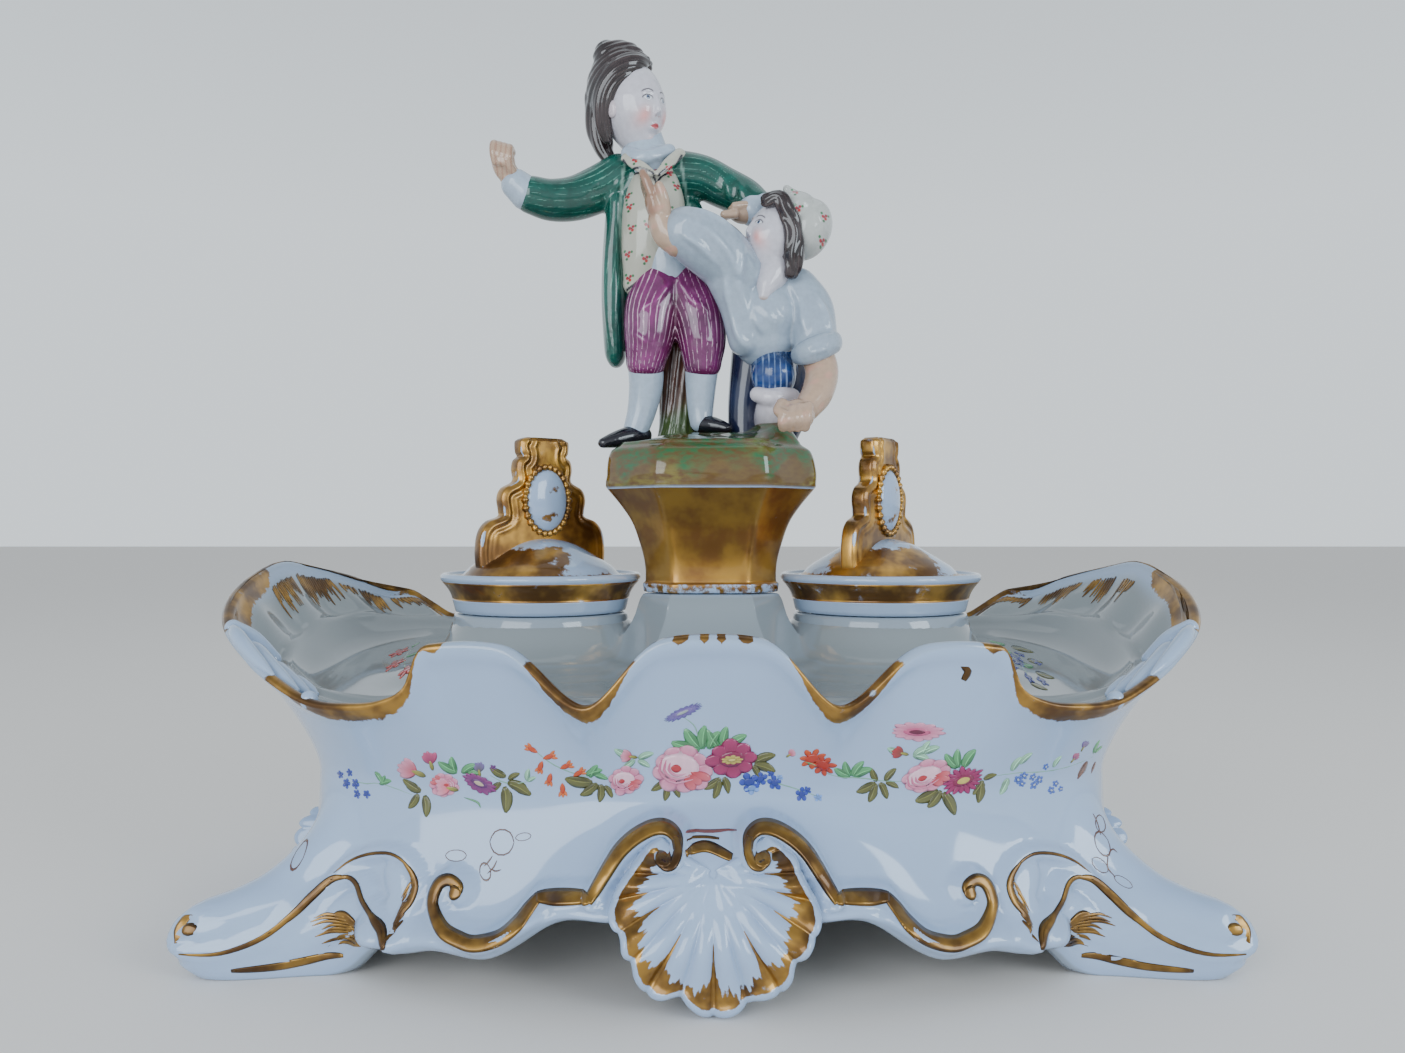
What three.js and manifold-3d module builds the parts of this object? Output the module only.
// A figural porcelain inkstand: a rococo stand with two lidded ink wells, a pen tray at each end, and a neck in the
// middle that carries two children on a gilt plinth. Millimetres, +Z up, the front faces -Y, and the origin is on the
// surface that it stands on, under the middle.
import * as THREE from "three";
import { mergeVertices } from "three/addons/utils/BufferGeometryUtils.js";
import Module from "manifold-3d";

// Driving dimensions
const rimPlan = { halfLength: 143, halfDepth: 77.5, power: 2.6 };
const waistPlan = { halfLength: 113.5, halfDepth: 64, power: 3.2 };
const basePlan = { halfLength: 112, halfDepth: 80, power: 3 };
const waistHeight = 48;
const wallThickness = 4.5;
const footReach = 34; // how far a toe stands out past the base
const endReach = 12; // how much farther the base stands out at the middle of each end
const footAngle = 66; // degrees round from the front to a toe
const lipWidth = 4;
const ceilingHeight = 64; // inside the hollow body
const deckHeight = 73;
const trayHeight = 74.6; // the tray floor on the middle line, from which it climbs towards the back
const trayClimb = 0.11;
const well = { x: 52.2, bore: 21.5, collar: 26.5, mouth: 89.2, floor: 52, wall: 3.5, shoulder: 33 };
const rest = 0.3; // gap between pieces that rest on each other
const lidFoot = well.mouth + rest;
const neckTop = 95.5;
const plinthFoot = neckTop + rest;
const plinthTop = 126.7;
const plateThickness = 6.4; // the plate that stands on each lid
const shellHeight = 38;
const shellSwell = 9; // how far the wall swells out behind the shell
const shellDepth = 87; // how far the front shell stands out from the middle
const endShellReach = 128;

const degrees = Math.PI / 180;
const wasm = await Module();
wasm.setup();

// A closed geometry as a solid, with the vertices that share a place merged.
function solidOf(geometry) {
  const plain = new THREE.BufferGeometry();
  plain.setAttribute("position", geometry.getAttribute("position"));
  plain.setIndex(geometry.index);
  const merged = mergeVertices(plain, 1e-4);
  return new wasm.Manifold(
    new wasm.Mesh({
      numProp: 3,
      vertProperties: merged.attributes.position.array,
      triVerts: new Uint32Array(merged.index.array),
    }),
  );
}

function geometryOf(solid) {
  const mesh = solid.getMesh();
  const positions = new Float32Array(mesh.numVert * 3);
  for (let i = 0; i < mesh.numVert; i++) {
    const start = i * mesh.numProp;
    positions.set(mesh.vertProperties.subarray(start, start + 3), i * 3);
  }
  return new THREE.BufferGeometry()
    .setAttribute("position", new THREE.BufferAttribute(positions, 3))
    .setIndex(new THREE.BufferAttribute(mesh.triVerts, 1))
    .toNonIndexed();
}

const join = (solids) => solids.reduce((all, next) => all.add(next));

// Triangles over points that are already in order.
function geometryFrom(points, triangles) {
  const positions = new Float32Array(points.flatMap((p) => [p.x, p.y, p.z]));
  return new THREE.BufferGeometry()
    .setAttribute("position", new THREE.BufferAttribute(positions, 3))
    .setIndex(triangles);
}

function middleOf(points) {
  return points
    .reduce((sum, p) => sum.add(p), new THREE.Vector3())
    .divideScalar(points.length);
}

// A solid skinned over closed rings of equal count that run anticlockwise and climb, closed by a fan at each end.
function skin(rings, tips = [middleOf(rings[0]), middleOf(rings[rings.length - 1])]) {
  const around = rings[0].length;
  const points = rings.flat();
  const triangles = [];
  for (let i = 0; i + 1 < rings.length; i++) {
    for (let j = 0; j < around; j++) {
      const a = i * around + j;
      const b = i * around + ((j + 1) % around);
      triangles.push(a, b, b + around, a, b + around, a + around);
    }
  }
  const last = (rings.length - 1) * around;
  const low = points.push(tips[0]) - 1;
  const high = points.push(tips[1]) - 1;
  for (let j = 0; j < around; j++) {
    const k = (j + 1) % around;
    triangles.push(low, k, j, high, last + j, last + k);
  }
  return solidOf(geometryFrom(points, triangles));
}

// A solid between two matching grids of points: the front one and the back one.
function slab(front, back) {
  const rows = front.length;
  const columns = front[0].length;
  const points = [...front.flat(), ...back.flat()];
  const behind = rows * columns;
  const triangles = [];
  const quad = (a, b, c, d) => triangles.push(a, b, c, a, c, d);
  for (let i = 0; i + 1 < rows; i++) {
    for (let j = 0; j + 1 < columns; j++) {
      const a = i * columns + j;
      quad(a, a + columns, a + columns + 1, a + 1);
      quad(behind + a, behind + a + 1, behind + a + columns + 1, behind + a + columns);
    }
  }
  for (let i = 0; i + 1 < rows; i++) {
    const a = i * columns;
    const b = a + columns - 1;
    quad(a, behind + a, behind + a + columns, a + columns);
    quad(b + columns, behind + b + columns, behind + b, b);
  }
  for (let j = 0; j + 1 < columns; j++) {
    const b = (rows - 1) * columns + j;
    quad(j + 1, behind + j + 1, behind + j, j);
    quad(b, behind + b, behind + b + 1, b + 1);
  }
  const made = solidOf(geometryFrom(points, triangles));
  return made.volume() < 0 ? slab(back, front) : made;
}

// A limb with blunt ends, along a smooth path of [x, y, z, radius] stops. Flat squeezes it along its second axis.
function limb(stops, sides = 6, flat = 1) {
  const path = new THREE.CatmullRomCurve3(stops.map((stop) => new THREE.Vector3(...stop)));
  const last = stops.length - 1;
  const frames = path.computeFrenetFrames(last, false);
  const middles = stops.map((_, n) => path.getPointAt(n / last));
  const radii = stops.map((stop) => stop[3]);
  const rings = middles.map((middle, n) =>
    Array.from({ length: sides }, (_, j) => {
      const turn = (2 * Math.PI * j) / sides;
      return middle
        .clone()
        .addScaledVector(frames.normals[n], radii[n] * Math.cos(turn))
        .addScaledVector(frames.binormals[n], radii[n] * flat * Math.sin(turn));
    }),
  );
  const tip = (n, way) => middles[n].clone().addScaledVector(frames.tangents[n], way * 0.75 * radii[n]);
  return skin(rings, [tip(0, -1), tip(last, 1)]);
}

function ball(centre, radii, turn = [0, 0, 0], sides = 8, rows = 4) {
  const shape = new THREE.SphereGeometry(1, sides, rows);
  shape.rotateX(Math.PI / 2);
  shape.scale(...radii);
  shape.applyMatrix4(new THREE.Matrix4().makeRotationFromEuler(new THREE.Euler(...turn.map((t) => t * degrees))));
  shape.translate(...centre);
  return solidOf(shape);
}

// A turned solid about an upright line, from [radius, height] stops that run from the axis out and back to it.
function turned(stops, x = 0, sides = 18) {
  const profile = stops.map(([radius, height]) => new THREE.Vector2(radius, height));
  const shape = new THREE.LatheGeometry(profile, sides);
  shape.rotateX(Math.PI / 2);
  shape.translate(x, 0, 0);
  const made = solidOf(shape);
  return made.volume() > 0 ? made : turned([...stops].reverse(), x, sides);
}

function block(low, high) {
  const size = low.map((v, i) => high[i] - v);
  const shape = new THREE.BoxGeometry(...size);
  shape.translate(...low.map((v, i) => v + size[i] / 2));
  return solidOf(shape);
}

// A smooth curve through [at, value] knots, level at both ends.
function curveThrough(knots) {
  const slope = (i) => {
    const before = knots[Math.max(i - 1, 0)];
    const after = knots[Math.min(i + 1, knots.length - 1)];
    return i === 0 || i === knots.length - 1 ? 0 : (after[1] - before[1]) / (after[0] - before[0]);
  };
  return (at) => {
    if (at <= knots[0][0]) return knots[0][1];
    let i = 0;
    while (i < knots.length - 2 && at > knots[i + 1][0]) i++;
    const [a, va] = knots[i];
    const [b, vb] = knots[i + 1];
    const t = Math.min((at - a) / (b - a), 1);
    const span = b - a;
    return (
      va * (1 + 2 * t) * (1 - t) ** 2 +
      slope(i) * span * t * (1 - t) ** 2 +
      vb * t * t * (3 - 2 * t) +
      slope(i + 1) * span * t * t * (t - 1)
    );
  };
}

// The stand's outline. Angles run from the front, 0, round an end, 90, to the back, 180, and both ends are alike.
const rimHeightAt = curveThrough([
  [0, 89.6], [9, 88.5], [13, 85], [20.8, 73], [25, 74], [33, 85.5], [38, 87.5], [44, 86.8], [45.2, 85.5], [46.8, 75.5],
  [50, 69.5], [54, 68], [58.9, 68.2], [64, 74], [70, 83], [77, 90], [84, 96.4], [90, 100.5], [98, 104], [104, 101.6],
  [110, 98], [114.5, 93.2], [118, 93], [121, 88.5], [124.5, 83.5], [133.7, 81], [142, 87.5], [159, 75], [180, 89],
]);
const lowerEdgeAt = curveThrough([
  [0, 20], [18, 20.5], [26, 20.5], [36, 11], [44, 11.5], [49, 9.5], [53, 9.5], [58, 2], [60, 0], [72, 0], [75, 3],
  [80, 13], [90, 16], [100, 13], [105, 3], [108, 0], [120, 0], [122, 2], [127, 9.5], [131, 9.5], [136, 11.5],
  [144, 11], [154, 20.5], [162, 20.5], [180, 20],
]);
const dishWidthAt = curveThrough([[0, 8], [45, 8], [60, 14], [80, 26], [112, 30], [130, 12], [180, 8]]);
// How far the lower wall stands out, from the lower edge, 0, to the waist, 1: as plain wall and along a foot.
const wallFlareAt = curveThrough([[0, 0.9], [0.08, 1], [0.25, 0.62], [0.5, 0.3], [0.75, 0.08], [1, 0]]);
const footFlareAt = curveThrough([[0, 0.9], [0.1, 1], [0.3, 0.97], [0.38, 0.84], [0.5, 0.46], [0.73, 0.13], [1, 0]]);

// Degrees from the front to a direction that turns all the way round.
const fromFront = (turn) => (turn <= 180 ? turn : 360 - turn);
const mirrorToQuarter = (angle) => (angle <= 90 ? angle : 180 - angle);

function radiusOf(plan, turn) {
  const across = Math.abs(Math.sin(turn * degrees)) / plan.halfLength;
  const along = Math.abs(Math.cos(turn * degrees)) / plan.halfDepth;
  return (across ** plan.power + along ** plan.power) ** (-1 / plan.power);
}

const footShare = (turn) => Math.exp(-(Math.abs((mirrorToQuarter(fromFront(turn)) - footAngle) / 4.6) ** 2.4));
const endShare = (turn) => Math.exp(-(Math.abs((mirrorToQuarter(fromFront(turn)) - 90) / 15) ** 2.4));
const shellShare = (turn) => Math.exp(-((mirrorToQuarter(fromFront(turn)) / 19) ** 4));
const footBlend = (turn) => Math.exp(-(((mirrorToQuarter(fromFront(turn)) - footAngle) / 8) ** 2));

// The lower wall's radius at a height below the waist, with or without the feet.
function lowerRadius(turn, height, withFeet = true) {
  const edge = lowerEdgeAt(fromFront(turn));
  const climb = THREE.MathUtils.clamp((height - edge) / (waistHeight - edge), 0, 1);
  const waist = radiusOf(waistPlan, turn);
  const base = radiusOf(basePlan, turn);
  const blend = withFeet ? footBlend(turn) : 0;
  const reach = base - waist + endReach * endShare(turn) + (withFeet ? footReach * footShare(turn) : 0);
  const swell = withFeet ? shellSwell * shellShare(turn) * (1 - THREE.MathUtils.smoothstep(height, 34, 48)) : 0;
  const flare = THREE.MathUtils.lerp(wallFlareAt(climb), footFlareAt(climb), blend);
  return waist + reach * flare + swell * Math.min(1, 2.5 * climb);
}

function upperRadius(turn, height) {
  const climb = (height - waistHeight) / (rimHeightAt(fromFront(turn)) - waistHeight);
  return THREE.MathUtils.lerp(radiusOf(waistPlan, turn), radiusOf(rimPlan, turn), climb ** 1.4);
}

const outerRadius = (turn, height) => (height < waistHeight ? lowerRadius(turn, height) : upperRadius(turn, height));

const around = (turn, radius, height) =>
  new THREE.Vector3(radius * Math.sin(turn * degrees), -radius * Math.cos(turn * degrees), height);

function floorHeight(x, y) {
  const share = THREE.MathUtils.smoothstep(Math.abs(x), 70, 90);
  return THREE.MathUtils.lerp(deckHeight, trayHeight + trayClimb * y, share);
}

// The top surface at a distance in from the lip: the floor, with the dished wall that climbs to the lip.
function dishPoint(turn, inward) {
  const radius = radiusOf(rimPlan, turn) - lipWidth - inward;
  const point = around(turn, radius, 0);
  const floor = floorHeight(point.x, point.y);
  const lift = rimHeightAt(fromFront(turn)) - 2.5 - floor;
  const share = Math.max(0, 1 - inward / dishWidthAt(fromFront(turn)));
  return point.setZ(floor + lift * share ** 2);
}

// The x, z places on the front of the wall, as points that stand a little out of it.
function onWall(x, z, out = 0) {
  let turn = Math.atan2(x, basePlan.halfDepth) / degrees;
  for (let i = 0; i < 6; i++) {
    const radius = outerRadius(Math.abs(turn), z) + out;
    turn = Math.atan2(x, radius * Math.cos(turn * degrees)) / degrees;
  }
  return around(turn, outerRadius(Math.abs(turn), z) + out, z);
}

// The directions round the stand, closer together at the feet and at the lip's steep drops.
const quarterTurns = [0, 10, 16, 21, 29, 37.5, 45, 47, 52, 58, 62, 66, 70, 76, 83];
const halfTurns = [...quarterTurns, 90, ...quarterTurns.map((turn) => 180 - turn).reverse()];
const allTurns = [...halfTurns, ...halfTurns.slice(1, -1).reverse().map((turn) => 360 - turn)];

function standShell() {
  const ringAt = (point) => allTurns.map(point);
  const partWay = (turn, climb, top) => THREE.MathUtils.lerp(lowerEdgeAt(fromFront(turn)), top, climb);
  const innerRadius = (turn, height) => lowerRadius(turn, height, false) - wallThickness;
  const outerRing = (climb) =>
    ringAt((turn) => {
      const height = partWay(turn, climb, waistHeight);
      return around(turn, lowerRadius(turn, height), height);
    });
  const upperRing = (climb) =>
    ringAt((turn) => {
      const height = THREE.MathUtils.lerp(waistHeight, rimHeightAt(fromFront(turn)), climb);
      return around(turn, upperRadius(turn, height), height);
    });
  const innerRing = (climb) =>
    ringAt((turn) => {
      const height = partWay(turn, climb, waistHeight);
      return around(turn, innerRadius(turn, height), height);
    });
  const lip = (inward, below) =>
    ringAt((turn) => around(turn, radiusOf(rimPlan, turn) - inward, rimHeightAt(fromFront(turn)) - below));
  return skin([
    ringAt((turn) => around(turn, innerRadius(turn, waistHeight) - 7, ceilingHeight)),
    ...[1, 0.3, 0].map(innerRing),
    ...[0, 0.12, 0.34, 0.6].map(outerRing),
    ...[0, 0.45, 0.94].map(upperRing),
    lip(-0.3, 1.2),
    lip(lipWidth / 2, 0),
    ...[0, 7, 20].map((inward) => ringAt((turn) => dishPoint(turn, inward))),
    ringAt((turn) => dishPoint(turn, radiusOf(rimPlan, turn) * 0.6)),
  ]);
}

// The cup of a well, with a shoulder that spreads onto the deck. Grown by the gap, it is the seat it hangs in.
function wellCup(x, grown = 0) {
  const outer = well.bore + well.wall + grown;
  const foot = well.floor - well.wall - grown;
  const seat = deckHeight - 3 - grown;
  const stops = [
    [0, foot], [well.bore, foot], [outer, well.floor], [outer, seat], [well.shoulder + grown, seat],
    [well.shoulder + grown, deckHeight + 1.6], [well.collar + 1.5 + grown, deckHeight + 8],
    [well.collar + grown, well.mouth + grown], [0, well.mouth + grown],
  ];
  return turned(stops, x);
}

function wellBore(x) {
  const stops = [[0, well.floor], [well.bore - 4, well.floor], [well.bore, well.floor + 4]];
  return turned([...stops, [well.bore, well.mouth + 5], [0, well.mouth + 5]], x);
}

// A rectangle with canted corners, anticlockwise, its half sizes and the cut given.
function canted(halfX, halfY, cut, height, x = 0, y = 0) {
  const corners = [
    [halfX - cut, -halfY], [halfX, -halfY + cut], [halfX, halfY - cut], [halfX - cut, halfY],
    [-halfX + cut, halfY], [-halfX, halfY - cut], [-halfX, -halfY + cut], [-halfX + cut, -halfY],
  ];
  return corners.map(([px, py]) => new THREE.Vector3(px + x, py + y, height));
}

function neck() {
  const stops = [[62, 40, 14], [72, 39, 14], [76, 33, 12.5], [81, 27.5, 11], [88, 23, 9.5], [neckTop - 1, 20.6, 8.8]];
  const rings = stops.map(([z, half, cut]) => canted(half, half * 0.92, cut, z));
  return skin([...rings, canted(20, 20 * 0.92, 8.6, neckTop)]);
}

// A scallop hung on the wall: ribs fan down from a hinge near its top, and its border is scalloped.
function scallop(height, halfWidth, reach, place, ribs, thickness) {
  const hinge = height - 5;
  const spread = 112;
  const columns = ribs * 2 + 1;
  const side = (behind) =>
    [0.12, 0.6, 1].map((share) =>
      Array.from({ length: columns }, (_, j) => {
        const angle = THREE.MathUtils.lerp(-spread, spread, j / (columns - 1));
        const groove = j % 2 ? 0 : share;
        const narrowing = THREE.MathUtils.smoothstep(Math.abs(angle), 38, 90);
        const length = share * (THREE.MathUtils.lerp(hinge + 0.4, halfWidth, narrowing) - groove);
        const out = reach * (0.55 + 0.45 * share) - 1.4 * groove - 3 * share * (1 - share);
        const z = Math.max(hinge - length * Math.cos(angle * degrees), 0);
        return place(length * Math.sin(angle * degrees), z, behind ? out - thickness : out);
      }),
    );
  return slab(side(false), side(true));
}

// The C scrolls, the scrolls over the shell and the leaf on each foot, as rods laid on the wall: [x, z, radius] stops.
const relief = {
  cScroll: [[27, 22, 2.2], [38, 22, 2.2], [45, 15, 2.5], [56, 12.5, 2.6], [66, 17, 2.5], [67, 26, 2.2], [61, 25, 2.6]],
  shellScroll: [[28, 22, 2.2], [23, 33, 2.2], [15, 42.5, 2.4], [8.5, 42, 2.6], [9.5, 36.5, 2.8]],
  footLeaf: [[122, 7, 2.4], [106, 16, 3], [88, 32, 3.2], [79, 31, 3.6], [76, 20, 4], [78, 12, 2.6]],
};

function rodOnWall(stops, sideways, back) {
  return limb(
    stops.map(([x, z, radius]) => {
      const p = onWall(x, z, 0.6);
      return [sideways * p.x, back * p.y, p.z, radius];
    }),
    4,
  );
}

function footRoll(sideways, back) {
  const toe = around(footAngle, radiusOf(basePlan, footAngle) + footReach - 9, 9);
  const stop = (out, along, radius) => [sideways * (toe.x + out), back * (toe.y + along), 9.3, radius];
  return limb([stop(0, -6, 8), stop(0, 0, 9.2), stop(0, 7, 8)], 7);
}

function trayLeaf(sideways) {
  const stops = [[130, -40, 84, 5], [124, -47, 79, 6], [114, -55, 73, 5], [104, -60.5, 69.5, 3.4]];
  return limb(stops.map(([x, y, z, radius]) => [sideways * x, y, z, radius]), 5, 0.8);
}

// The wall and the deck are cut apart where the deck's edge meets the inside of the wall.
function core(inset) {
  const ringAt = (height) =>
    allTurns.map((turn) => around(turn, radiusOf(waistPlan, turn) - wallThickness + 0.6 - inset, height));
  return skin([ringAt(-20), ringAt(130)]);
}

function stand() {
  const parts = [standShell().subtract(core(0))];
  for (const sideways of [1, -1]) {
    parts.push(trayLeaf(sideways));
    parts.push(
      scallop(30, 14, 10, (x, z, out) => new THREE.Vector3(sideways * (endShellReach - 10 + out), x, z), 3, 12),
    );
    for (const back of [1, -1]) {
      parts.push(footRoll(sideways, back));
      for (const rod of Object.values(relief)) parts.push(rodOnWall(rod, sideways, back));
    }
  }
  for (const back of [1, -1]) {
    const place = (x, z, out) => new THREE.Vector3(x, -back * (shellDepth - 16 + out), z);
    parts.push(scallop(shellHeight, 26, 16, place, 7, 7));
  }
  const below = block([-200, -200, -30], [200, 200, 0]);
  return join(parts).subtract(below).subtract(core(0));
}

// The deck between the trays and the tray floors, in one piece with the neck, and with a seat for each well.
function deck() {
  const seats = join([wellCup(well.x, rest), wellCup(-well.x, rest)]);
  return standShell().intersect(core(rest)).add(neck()).subtract(seats);
}

const inkwell = (x) => wellCup(x).subtract(wellBore(x));

// A domed lid with a flared rim, and a stepped rocaille plate with a beaded medallion standing on it.
const plateOutline = [[21, 2], [22, 9], [21, 14], [18.2, 17.4], [14.3, 19], [14.8, 24], [13.4, 27.4], [9.8, 29.6],
  [9.6, 35], [7.8, 37.2], [8.5, 42.6]];

function lidPlate() {
  const shape = new THREE.Shape();
  shape.moveTo(20, 0);
  for (const [x, z] of plateOutline) shape.lineTo(x, z);
  for (const [x, z] of [...plateOutline].reverse()) shape.lineTo(-x, z);
  shape.lineTo(-20, 0);
  const plate = new THREE.ExtrudeGeometry(shape, { depth: plateThickness, bevelEnabled: false });
  plate.translate(0, 0, -plateThickness / 2);
  plate.rotateX(Math.PI / 2);
  plate.translate(0, 0, 100);
  return join([solidOf(plate), ball([0, -plateThickness / 2, 123.4], [7.6, 2.4, 10], [0, 0, 0], 10, 4)]);
}

function lid() {
  const arch = (radius, rise, foot, angles) =>
    angles.map((a) => [radius * Math.cos(a * degrees), foot + rise * Math.sin(a * degrees)]);
  const hollow = [[0, 106.5], ...arch(17.5, 8.5, 98, [50, 0]), [17.5, lidFoot - 4]];
  const ring = [[21, lidFoot - 4], [21, lidFoot]];
  const rim = [[26, lidFoot], [27, lidFoot + 3.5], [28.6, lidFoot + 6.5], [30.6, lidFoot + 9.8], [29.8, lidFoot + 11]];
  const domeStops = [[24.8, 11], [21.6, 13.8], [17.5, 16.4], [10.4, 20.4], [5, 22], [0, 22.4]];
  const dome = domeStops.map(([radius, rise]) => [radius, lidFoot + rise]);
  const bore = turned([[0, lidFoot - 5], [17.4, lidFoot - 5], ...arch(17.5, 8.5, 98, [0, 50]), [0, 106.5]]);
  return turned([...hollow, ...ring, ...rim, ...dome]).add(lidPlate().subtract(bore));
}

// The group: a canted plinth with a mound on it, and the two children, in [x, y, z, radius] stops.
function plinth() {
  const stops = [
    [plinthFoot, 20.4, 8.6], [98.6, 20.4, 8.6], [98.9, 19.7, 8.4], [105, 20.1, 8.6], [111, 21.6, 9.4],
    [117, 23.8, 10.6], [122, 27.2, 12.6], [plinthTop, 31, 15.2], [133, 31.2, 15], [138, 30, 14.5], [140.5, 27, 13],
  ];
  return skin(stops.map(([z, half, cut]) => canted(half, half * 0.92, cut, z)));
}

function mound() {
  return join([
    ball([-6, 1, 137], [24, 23, 6.5], [0, 0, 0], 10, 4),
    ball([17, -4, 138], [13.5, 17, 9], [0, 0, 0], 8, 4),
    limb([[-8, 10, 138, 8], [-9, 10, 152, 5.6], [-9.5, 9, 168, 5]]),
  ]);
}

function standingBoy() {
  return [
    ball([-25.2, 2.6, 249.8], [11.4, 12.6, 15], [0, -8, 0], 9, 6), // skull
    ball([-21.3, -1.5, 240.4], [9.6, 9.6, 9.4]), // cheeks and jaw
    ball([-31, 6, 254], [11.2, 12.2, 13.8], [0, 12, 0]), // hair
    limb([[-35.5, 9, 249, 5.4], [-37, 11, 240, 4.2], [-35.6, 12, 231, 2.6]]), // tied hair behind
    limb([[-22.5, 3.5, 236, 7.6], [-20.8, 3.5, 227, 8]]), // neck and collar
    limb([[-20.5, 4.5, 222, 12.2], [-19.5, 4, 210, 12.2], [-16, 4, 193, 12]], 8, 0.82),
    limb([[-20.5, 1.5, 221, 8.6], [-19.5, -1, 211, 9.4], [-19, -1, 200, 8.4]], 8, 0.9), // waistcoat front
    limb([[-31.5, 4, 223.5, 7.4], [-39, 2.5, 217, 6.8], [-48, -0.5, 214.3, 6.4], [-56, -3, 216.6, 6]]),
    limb([[-57.5, -3.6, 217.6, 5.2], [-60.6, -4.6, 221, 4.6]]), // right cuff
    ball([-62.4, -5.2, 226.6], [4, 3.8, 7.4], [0, -12, 0]), // right hand
    ball([-60.4, -7.4, 223.6], [2, 3.2, 4], [0, 20, 0], 6, 4), // right thumb
    limb([[-8, 4.5, 226.4, 7.2], [1.5, 6, 223.4, 6.6], [9.5, 5, 220, 6.2], [13.5, 1.5, 216.2, 5.4]]),
    ball([9.4, -1.6, 212.4], [5.8, 4.6, 3.6], [0, 10, 0]), // left cuff and hand
    limb([[-28.6, 4.5, 212, 5], [-29, 5, 199, 5.2], [-29.4, 6, 185, 5.2], [-28.4, 7.5, 171.5, 4.4]], 6, 1.6), // coat edge
    limb([[-26, 10.5, 197, 6.4], [-17, 12.6, 188, 7.4], [-15.5, 12, 175, 6.6]], 6, 0.9), // coat tail behind
    limb([[-17.5, 0.5, 186, 9.6], [-19.6, -1.8, 174, 8.4], [-20.4, -1.8, 164.6, 7.2]], 7), // right thigh
    limb([[-4.8, 1, 186, 9], [-3, -1.2, 174, 8.2], [-2.7, -1.8, 165, 7]], 7), // left thigh
    limb([[-20.4, -1.2, 164, 5.7], [-21, 0.2, 156, 5.9], [-21.9, 0.6, 145.5, 4.4]], 7),
    limb([[-2.7, -1.2, 164, 5.4], [-2.5, 0, 156, 5.6], [-2.7, 0.4, 148, 4.2]], 7),
    limb([[-21.8, 1, 143.6, 4.6], [-26.5, -3, 142.6, 4.2], [-31, -6, 141.2, 3.2]], 6, 0.8), // right shoe
    limb([[-2.8, 0.6, 146.6, 4.4], [2, -2.4, 146.4, 4], [5.6, -4.6, 145.8, 3]], 6, 0.8), // left shoe
  ];
}

function kneelingBoy() {
  return [
    ball([20.4, -6.4, 204.6], [9.3, 8.8, 11.4], [0, 12, 0], 8, 6), // head
    ball([16.4, -7.8, 201.4], [6.2, 6.8, 6.8]), // cheeks and jaw
    ball([29, -4.2, 209.2], [8.8, 9.6, 11.4], [0, 14, 0]), // cap
    limb([[19, -6, 213.5, 4.4], [25.6, -6, 212, 6.4], [27.6, -6, 203, 6], [26.4, -6.5, 196.4, 3.6]], 7, 1.3), // hair
    limb([[20.5, -5, 196, 6.2], [19.6, -4.6, 189, 6.6]]), // neck
    limb([[18, -3.5, 188, 12.4], [18.2, -2.5, 178, 13], [18, -1.5, 169, 11.8]], 8, 0.85), // shirt
    ball([28.6, -3.6, 187.2], [8.6, 8.6, 8.2]), // left shoulder
    limb([[30, -4, 186, 7.6], [34, -7, 177, 7.2], [34.4, -9, 170.6, 6.4]], 7), // left sleeve
    limb([[34.4, -9.6, 169, 4.7], [33, -15, 159.5, 4.8], [27.6, -21.4, 150.4, 4.2]], 7), // left forearm
    ball([25, -24, 146.6], [6, 5, 5.2]), // left fist
    limb([[16, -6, 190.5, 11], [7, -11.5, 197.6, 10], [-1, -15, 202.6, 8.4], [-7, -16.6, 203.4, 6.8]], 7), // right sleeve
    limb([[-6.4, -17, 198.8, 4.6], [-11.6, -18, 198, 4.3], [-15, -18.6, 202, 4]]), // right forearm
    limb([[-15.4, -18.8, 202, 4.2], [-17.8, -19.4, 209, 4.2], [-20, -19.4, 217.4, 2.6]], 6, 0.72), // right hand
    limb([[20, 3, 168, 10], [19.6, -3, 163.6, 9.6], [19.4, -8.6, 161, 8.8]], 7), // left thigh and knee
    limb([[19.4, -9, 155.4, 7.2], [19, -6, 150, 6.6]]), // left stocking
    limb([[14, 4, 172, 8], [10.4, 3.4, 160, 6.2], [11, 4, 147, 5.6]]), // right leg
    limb([[25, 8, 164, 9.4], [24.5, 14, 153, 7.4], [23, 19, 145, 5.6]]), // hips and lower leg behind
  ];
}

const figureGroup = () => join([plinth(), mound(), ...standingBoy(), ...kneelingBoy()]);

const material = (color, roughness, metalness) => new THREE.MeshStandardMaterial({ color, roughness, metalness });
const whiteGlaze = material(0xdfe3ea, 0.12, 0);
const lidGlaze = material(0xb08f4a, 0.22, 0.5);
const paintedGlaze = material(0x8f8b62, 0.2, 0.1);

function named(name, geometry, finish) {
  const mesh = new THREE.Mesh(geometry, finish);
  mesh.name = name;
  return mesh;
}

const inkstand = new THREE.Group();
inkstand.add(named("stand", geometryOf(stand()), whiteGlaze));
inkstand.add(named("deck_and_trays", geometryOf(deck()), whiteGlaze));
inkstand.add(named("inkwell_left", geometryOf(inkwell(-well.x)), whiteGlaze));
inkstand.add(named("inkwell_right", geometryOf(inkwell(well.x)), whiteGlaze));
inkstand.add(named("figure_group_on_plinth", geometryOf(figureGroup()), paintedGlaze));
const lidGeometry = geometryOf(lid());
for (const [name, x, turn] of [["inkwell_lid_left", -well.x, 38], ["inkwell_lid_right", well.x, 55]]) {
  const mesh = named(name, lidGeometry, lidGlaze);
  mesh.position.set(x, 0, 0);
  mesh.rotation.z = turn * degrees;
  inkstand.add(mesh);
}

export default inkstand;
